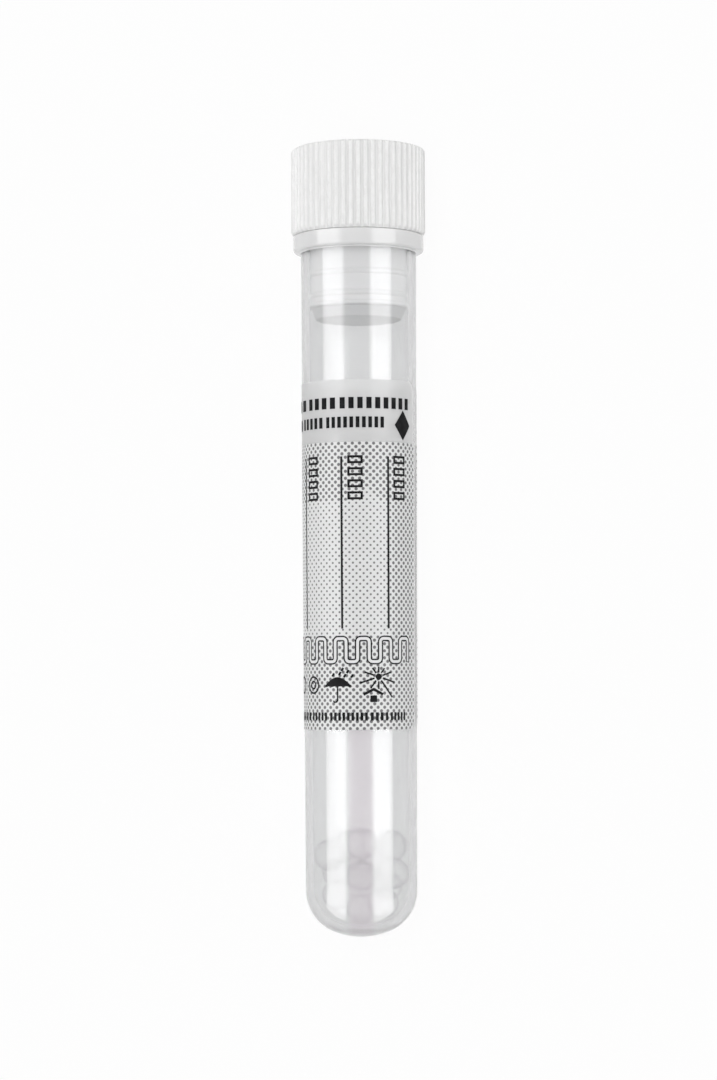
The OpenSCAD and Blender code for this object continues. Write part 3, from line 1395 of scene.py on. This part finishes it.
@dataclass(frozen=True)
class Umbrella:
    """The sign to keep goods dry: a canopy with a hooked stem, and slanted drops over it."""

    at: Point = (-2.5, 26.6)
    half_w: float = 1.65
    height: float = 1.03
    hem: float = 0.03
    scallop: float = 0.1
    scallops: int = 5
    steps: int = 32
    thinnest: float = 0.01
    stem_top: Point = (0.01, 0.2)
    stem_w: float = 0.17
    hook_at: Point = (-0.24, -1.35)
    hook_r: float = 0.25
    hook_turn: float = 160.0
    drops: tuple[Point, ...] = (
        (0.55, 1.83), (0.27, 1.41), (1.13, 1.62), (0.82, 1.18), (1.6, 1.14), (-0.5, 1.27)
    )
    drop_reach: Point = (0.11, 0.17)
    drop_w: float = 0.24

    def shapes(self, pen: Pen) -> list[Shape]:
        """The sign's shapes.

        Args:
            pen: what draws them.

        Returns:
            The canopy, the stem and the drops.
        """
        x, z = self.at
        canopy = []
        for t in np.linspace(-1, 1, self.steps + 1):
            s, wave = x + self.half_w * t, abs(math.sin(self.scallops / 2 * math.pi * t))
            low = z - self.hem + self.scallop * wave
            high = max(low + self.thinnest, z + self.height * math.cos(t * math.pi / 2))
            canopy.append(((s, low), (s, high)))
        hook = arc((x + self.hook_at[0], z + self.hook_at[1]), self.hook_r, 0, -self.hook_turn, 8)
        stem = [(x + self.stem_top[0], z + self.stem_top[1]), *hook]
        out = [(canopy, False), pen.stroke(stem, self.stem_w)]
        dx, dz = self.drop_reach
        for right, up in self.drops:
            s, rise = x + right, z + up
            out.append(pen.stroke([(s - dx, rise - dz), (s + dx, rise + dz)], self.drop_w))
        return out


@dataclass(frozen=True)
class Sun:
    """The sign to keep goods cool: a disc with rays, over a roof and a square dot."""

    at: Point = (1.93, 27.66)
    radius: float = 0.33
    ray_from: float = 0.48
    rays: tuple[float, ...] = (1.06, 1.11, 1.5, 2.0, 2.68, 1.3, 1.5, 2.15, 1.6, 1.15)
    ray_w: float = 0.18
    roof: tuple[Point, ...] = ((-1.63, -1.86), (-0.55, -1.31), (0.48, -1.86))
    roof_w: float = 0.28
    dot_across: Span = (-0.91, -0.19)
    dot_along: Span = (-2.66, -1.96)

    def shapes(self, pen: Pen) -> list[Shape]:
        """The sign's shapes.

        Args:
            pen: what draws them.

        Returns:
            The disc, the rays, the roof and the dot.
        """
        x, z = self.at
        out = [pen.disc(self.at, self.radius)]
        for i, far in enumerate(self.rays):
            turn = math.radians(360 / len(self.rays) * i)
            right, up = math.sin(turn), math.cos(turn)
            ends = [(x + right * r, z + up * r) for r in (self.ray_from, far)]
            out.append(pen.stroke(ends, self.ray_w))
        out.append(pen.stroke([(x + right, z + up) for right, up in self.roof], self.roof_w))
        left, right = (x + edge for edge in self.dot_across)
        low, high = (z + edge for edge in self.dot_along)
        return [*out, pen.bar(left, right, low, high)]


@dataclass(frozen=True)
class MarkRow:
    """One line of print: its lower and upper edge, and each word's start, end and marks."""

    low: float
    high: float
    words: tuple[tuple[float, float, int], ...]


@dataclass
class Artwork:
    """The label's plain print: bars in place of words, ruled lines, an outlined band and signs."""

    label: Label
    rows: tuple[MarkRow, ...] = (
        MarkRow(55.92, 57.12, (
            (-16.9, -13.1, 5), (-12.5, -8.6, 5), (-7.9, -7.0, 1), (-6.26, -2.58, 4), (-2.07, 5.96, 9),
        )),
        MarkRow(53.9, 55.06, (
            (-17.3, -13.6, 6), (-13.0, -8.3, 6), (-7.58, -4.14, 5), (-3.65, 2.63, 10),
        )),
        MarkRow(23.06, 23.93, (
            (-18.6, -14.0, 8), (-13.4, -9.4, 7), (-8.72, -6.32, 4), (-5.97, -3.79, 5),
            (-3.39, 0.74, 9), (1.05, 2.46, 3), (2.72, 3.0, 1), (3.32, 5.35, 5),
        )),
    )
    diamond_at: Point = (5.1, 54.24)
    diamond_half_w: float = 1.17
    diamond_half_h: float = 1.6
    line_w: float = 0.23
    line_low_z: float = 32.73
    line_top_z: float = 50.87
    lines_at: tuple[float, ...] = (3.10, -1.93, -7.11, -12.2, -17.3, -22.4)
    caption_w: float = 1.62
    caption_off: float = 0.64
    caption_h: float = 0.86
    caption_rise: float = 0.1
    caption_pitch: float = 1.27
    caption_marks: int = 4
    caption_line: float = 0.24
    ribbon_low_z: float = 28.95
    ribbon_top_z: float = 31.98
    ribbon_right: float = 6.1
    ribbon_w: float = 0.6
    ribbon_step: float = 1.22
    ribbon_turns: int = 20
    ribbon_corner: float = 0.4
    ribbon_line: float = 0.15
    rings: tuple[tuple[float, float], ...] = ((-5.8, 0.85), (-5.8, 0.38), (-8.6, 0.85))
    rings_z: float = 26.8
    ring_line: float = 0.19
    umbrella: Umbrella = Umbrella()
    sun: Sun = Sun()
    pen: Pen = field(init=False)

    def __post_init__(self) -> None:
        """Takes a pen whose steps match the label's columns."""
        self.pen = Pen(self.label.column_w)

    def words(self) -> list[Shape]:
        """Marks in place of the two heading lines and the small line, and the plain diamond.

        Returns:
            The shapes.
        """
        out = []
        for row in self.rows:
            for left, right, marks in row.words:
                out += self.pen.word(left, right, row.low, row.high, marks)
        return [*out, self.pen.diamond(self.diamond_at, self.diamond_half_w, self.diamond_half_h)]

    def ruling(self) -> list[Shape]:
        """The ruled lines to write on."""
        half, ends = self.line_w / 2, (self.line_low_z, self.line_top_z)
        return [self.pen.bar(s - half, s + half, *ends) for s in self.lines_at]

    def captions(self) -> list[Shape]:
        """Small open boxes in place of each line's caption.

        Returns:
            The shapes.
        """
        out, half = [], self.caption_line / 2
        for s in self.lines_at:
            left, right = s + self.caption_off + half, s + self.caption_off + self.caption_w - half
            for i in range(self.caption_marks):
                high = self.line_top_z + self.caption_rise - i * self.caption_pitch - half
                low = high - self.caption_h + 2 * half
                box = [(right, high), (left, high), (left, low), (right, low)]
                out.append(self.pen.stroke(box, self.caption_line, closed=True))
        return out

    def ribbon(self) -> list[Point]:
        """The middle of the band's ribbon, which winds up and down from the right.

        Returns:
            Its points in order.
        """
        half = self.ribbon_w / 2
        heights = [self.ribbon_low_z + half, self.ribbon_top_z - half]
        path = []
        for i in range(self.ribbon_turns):
            s = self.ribbon_right - half - i * self.ribbon_step
            path += [(s, z) for z in heights]
            heights.reverse()
        return rounded(path, {i: self.ribbon_corner for i in range(1, len(path) - 1)})

    def outlines(self) -> list[Shape]:
        """The ribbon's outline.

        Returns:
            The shape.
        """
        rails, _ = self.pen.stroke(self.ribbon(), self.ribbon_w - self.ribbon_line)
        left, right = ([pair[k] for pair in rails] for k in (0, 1))
        return [self.pen.stroke([*left, *right[::-1]], self.ribbon_line, closed=True)]

    def whites(self) -> list[Shape]:
        """The white of the ribbon, inside its outline."""
        return [self.pen.stroke(self.ribbon(), self.ribbon_w - 2 * self.ribbon_line)]

    def signs(self) -> list[Shape]:
        """The signs in the row under the band."""
        rings = [self.pen.ring((s, self.rings_z), r, self.ring_line) for s, r in self.rings]
        return rings + self.umbrella.shapes(self.pen) + self.sun.shapes(self.pen)

    def build(self, axis: TubeAxis, black: Material, white: Material) -> None:
        """Makes the printed pieces.

        Args:
            axis: where the tube lies.
            black: the black ink.
            white: the white ink.
        """
        self.label.print_shapes("label_band_whites", axis, self.whites(), white)
        for part in (self.words, self.ruling, self.captions, self.outlines, self.signs):
            self.label.print_shapes(f"label_{part.__name__}", axis, part(), black)


# Studio


@dataclass(frozen=True)
class Lamp:
    """A soft lamp, square on to the object: how far it leans from straight up, and its radiance.

    Its distance, width and length are in metres.
    """

    name: str
    lean: float
    radiance: float
    distance: float = 0.7
    width: float = 0.25
    length: float = 0.6

    def build(self) -> None:
        """Hangs the lamp, seen by nothing but the light that it gives."""
        light = bpy.data.lights.new(self.name, "AREA")
        light.shape = "RECTANGLE"
        light.size, light.size_y = self.width, self.length
        light.energy = self.radiance * math.pi * self.width * self.length
        obj = put(self.name, light)
        lean = math.radians(self.lean)
        obj.location = Vector((math.sin(lean), 0, math.cos(lean))) * self.distance
        obj.rotation_euler = (0, lean, 0)
        obj.visible_camera = obj.visible_glossy = obj.visible_transmission = False


@dataclass
class Studio:
    """Floor, world, lamps and the camera.

    The floor's size and the clip range are in metres, and the soft boxes' edges and ends are shares
    of what a round side reflects.
    """

    axis: TubeAxis
    floor_half: float = 6.0
    floor_glow: float = 0.94
    floor_colour: Colour = (0.93, 0.93, 0.93, 1)
    lamps: tuple[Lamp, ...] = (
        Lamp("top lamp", lean=-8.0, radiance=4.4),
        Lamp("left lamp", lean=-78.0, radiance=0.9),
        Lamp("right lamp", lean=78.0, radiance=1.2),
    )
    strip_radiance: float = 4.2
    strip_soft: float = 0.045
    strip_hard: float = 0.016
    strip_ends: Span = (0.6, 0.8)
    left_span: Span = (31.5, 76.0)
    right_span: Span = (23.5, 67.5)
    sky: float = 0.43
    straight_down: float = 0.001
    eye_along: float = 28.44
    eye_height: float = 300.5
    eye_right: float = -0.15
    eye_tilt: float = 2.642
    eye_roll: float = 0.29
    lens: float = 93.4467
    sensor: float = 36.0
    clip: Span = (0.01, 20.0)

    def seen(self, s: Sheet) -> tuple[NodeSocket, NodeSocket]:
        """What kind of ray looks at a surface or at the world.

        Args:
            s: the sheet of its tree.

        Returns:
            1 for a ray bounced off or let through by the object, and 1 for those and the camera's.
        """
        rays = s.add("LightPath").outputs
        bounced = s.math("MAXIMUM", rays["Is Glossy Ray"], rays["Is Transmission Ray"])
        return bounced, s.math("MAXIMUM", rays["Is Camera Ray"], bounced)

    def floor(self) -> None:
        """A plain pale floor that the camera sees as white, with the object's soft shadow."""
        material = bpy.data.materials.new("pale floor")
        s = Sheet.on(material)
        glow = s.add("Emission", {"Color": WHITE, "Strength": 1.0})
        matt = s.add("BsdfDiffuse", {"Color": self.floor_colour})
        share = s.math("MULTIPLY", self.seen(s)[1], self.floor_glow)
        mix = s.add("MixShader", {0: share, 1: matt.outputs[0], 2: glow.outputs[0]})
        s.add("OutputMaterial", {"Surface": mix.outputs[0]})
        corners = [(-1, -1), (1, -1), (1, 1), (-1, 1)]
        points = [(x * self.floor_half, y * self.floor_half, 0) for x, y in corners]
        mesh = bpy.data.meshes.new("floor")
        mesh.from_pydata(points, [], [(0, 1, 2, 3)])
        mesh.materials.append(material)
        put("floor", mesh)

    def strip(self, s: Sheet, across: NodeSocket, span: Span) -> NodeSocket:
        """The mask of one soft box as reflections see it.

        Args:
            s: the world's sheet.
            across: how far towards the box's side a level camera sees its reflection on a round side.
            span: the angles from straight up between which the box stands, in degrees.

        Returns:
            The mask: 1 on the box and 0 beside it.
        """
        near, far = (math.sin(math.radians(angle / 2)) for angle in span)
        start, end = s.above(across, near, self.strip_soft), s.below(across, far, self.strip_hard)
        return s.math("MULTIPLY", start, end)

    def world(self) -> None:
        """A white surround with two soft boxes for what is seen, and a dim even sky for the light."""
        world = bpy.data.worlds.new("studio")
        s = Sheet.on(world)
        bounced, seen = self.seen(s)
        way = s.add("SeparateXYZ", {0: s.add("TexCoord").outputs["Generated"]}).outputs
        rise = s.math("ADD", way[2], 1 + self.straight_down)
        half = s.math("SQRT", s.math("MULTIPLY", rise, 2.0))
        across, along = (s.math("DIVIDE", way[k], half) for k in (0, 1))
        left = self.strip(s, s.math("MULTIPLY", across, -1.0), self.left_span)
        right = self.strip(s, across, self.right_span)
        ends = s.ramp(s.math("ABSOLUTE", along), *self.strip_ends, 1.0, 0.0)
        boxes = s.math("MULTIPLY", s.math("ADD", left, right), ends)
        boxes = s.math("MULTIPLY", boxes, self.strip_radiance)
        plain = s.ramp(seen, 0.0, 1.0, self.sky, 1.0)
        strength = s.math("ADD", plain, s.math("MULTIPLY", bounced, boxes))
        glow = s.add("Background", {"Color": WHITE, "Strength": strength})
        s.add("OutputWorld", {"Surface": glow.outputs[0]})
        bpy.context.scene.world = world

    def camera(self) -> None:
        """The camera above the tube, nearer its round end, leaning a little towards the stopper."""
        data = bpy.data.cameras.new("camera")
        data.sensor_width, data.lens = self.sensor, self.lens
        data.clip_start, data.clip_end = self.clip
        eye = self.axis.spot(self.eye_right, -self.eye_height, self.eye_along)
        tilt = math.radians(self.eye_tilt)
        ahead = self.axis.low * math.cos(tilt) + self.axis.along * math.sin(tilt)
        up = self.axis.along * math.cos(tilt) - self.axis.low * math.sin(tilt)
        turn = Matrix((ahead.cross(up), up, -ahead)).transposed()
        roll = Matrix.Rotation(math.radians(-self.eye_roll), 3, "Z")
        obj = put("camera", data)
        obj.matrix_world = Matrix.Translation(eye) @ (turn @ roll).to_4x4()
        bpy.context.scene.camera = obj

    def build(self) -> None:
        """Sets up the studio."""
        self.floor()
        self.world()
        for lamp in self.lamps:
            lamp.build()
        self.camera()
        bpy.context.scene.view_settings.view_transform = "Standard"


def find_axis(tube: Tube) -> TubeAxis:
    """The axis of the tube as it lies in the frame.

    Args:
        tube: the tube's sizes.

    Returns:
        The axis, from the way that the stopper slides and the box of the tube.
    """
    along = Vector(frame["joints"][0]["axis"]).normalized()
    rise = math.asin(along.z)
    reach = (tube.outer.side_r - tube.corner_r) * math.cos(rise)
    lift = reach + tube.corner_r - tube.outer.side_z * math.sin(rise)
    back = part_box("tube")[0].y + tube.crown_r * (1 - math.cos(rise)) * MM
    return TubeAxis(Vector((0, back, lift * MM)), along)


def main() -> None:
    """Builds the pieces in order."""
    logging.basicConfig(level=logging.INFO, format="%(message)s")
    effects = SharedEffects()
    tube = Tube()
    axis = find_axis(tube)
    Studio(axis).build()
    clear, milky = (look.material(effects, axis) for look in (ClearPlastic(), ClearPlastic.milky()))
    tube.build(axis, clear, milky)
    Stopper(tube).build(axis, WhitePlastic().material(effects, axis))
    names = sorted(n for n in frame["nodes"] if n.startswith("granule_"))
    Granules().build(names, BeadPlastic().material(effects))
    label = Label(tube)
    label.film(axis, LabelFilm().material(effects))
    black, white = (ink.material(effects) for ink in (PrintInk(), PrintInk.white()))
    Artwork(label).build(axis, black, white)


if __name__ == "__main__":
    main()
